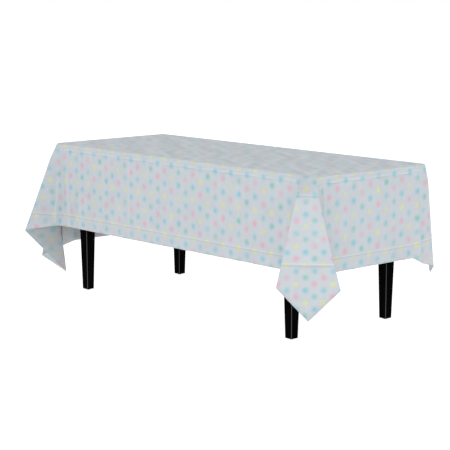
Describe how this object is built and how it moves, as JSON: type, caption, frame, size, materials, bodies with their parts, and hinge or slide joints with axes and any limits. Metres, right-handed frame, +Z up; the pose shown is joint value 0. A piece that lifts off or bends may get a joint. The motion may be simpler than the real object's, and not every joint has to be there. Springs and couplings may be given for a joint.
{
  "type": "tablecloth on a table",
  "caption": "Rectangular dotted film tablecloth draped over a wooden table with tapered black legs; the cloth's corners hang in folded flaps and it lifts off.",
  "frame": {"origin": "on the floor under the middle of the table, at the centre of the whole object's box", "axes": "+Z up; +X along the table's length; the long side with the flap at its right-hand end seen from the front is -Y"},
  "size_m": [2.2143, 1.139, 0.735],
  "materials": {
    "printed_film": "thin satin film printed with pastel dots, with pressed packing creases",
    "board_wood": "plain sealed wood board, satin",
    "black_lacquer": "black lacquered wood, gloss",
    "zinc_steel": "zinc plated",
    "glide_nylon": "moulded black nylon"
  },
  "bodies": {
    "table": {"table_top": "board_wood", "front_apron": "black_lacquer", "back_apron": "black_lacquer", "left_apron": "black_lacquer", "right_apron": "black_lacquer", "centre_rail": "board_wood", "leg_front_right": "black_lacquer", "corner_bracket_front_right": "zinc_steel", "leg_bolt_front_right": "zinc_steel", "bolt_washer_front_right": "zinc_steel", "bolt_nut_front_right": "zinc_steel", "floor_glide_front_right": "glide_nylon", "bracket_screw_front_right_a": "zinc_steel", "bracket_screw_front_right_b": "zinc_steel", "leg_back_right": "black_lacquer", "corner_bracket_back_right": "zinc_steel", "leg_bolt_back_right": "zinc_steel", "bolt_washer_back_right": "zinc_steel", "bolt_nut_back_right": "zinc_steel", "floor_glide_back_right": "glide_nylon", "bracket_screw_back_right_a": "zinc_steel", "bracket_screw_back_right_b": "zinc_steel", "leg_back_left": "black_lacquer", "corner_bracket_back_left": "zinc_steel", "leg_bolt_back_left": "zinc_steel", "bolt_washer_back_left": "zinc_steel", "bolt_nut_back_left": "zinc_steel", "floor_glide_back_left": "glide_nylon", "bracket_screw_back_left_a": "zinc_steel", "bracket_screw_back_left_b": "zinc_steel", "leg_front_left": "black_lacquer", "corner_bracket_front_left": "zinc_steel", "leg_bolt_front_left": "zinc_steel", "bolt_washer_front_left": "zinc_steel", "bolt_nut_front_left": "zinc_steel", "floor_glide_front_left": "glide_nylon", "bracket_screw_front_left_a": "zinc_steel", "bracket_screw_front_left_b": "zinc_steel", "top_clip_front_1": "zinc_steel", "top_screw_front_1": "zinc_steel", "apron_screw_front_1": "zinc_steel", "top_clip_front_2": "zinc_steel", "top_screw_front_2": "zinc_steel", "apron_screw_front_2": "zinc_steel", "top_clip_front_3": "zinc_steel", "top_screw_front_3": "zinc_steel", "apron_screw_front_3": "zinc_steel", "top_clip_back_1": "zinc_steel", "top_screw_back_1": "zinc_steel", "apron_screw_back_1": "zinc_steel", "top_clip_back_2": "zinc_steel", "top_screw_back_2": "zinc_steel", "apron_screw_back_2": "zinc_steel", "top_clip_back_3": "zinc_steel", "top_screw_back_3": "zinc_steel", "apron_screw_back_3": "zinc_steel"},
    "tablecloth": {"tablecloth": "printed_film"}
  },
  "joints": [
    {"name": "tablecloth_lift", "type": "slide", "parent": "table", "child": "tablecloth", "axis": [0, 0, 1], "range_m": [0, 0.7]}
  ]
}
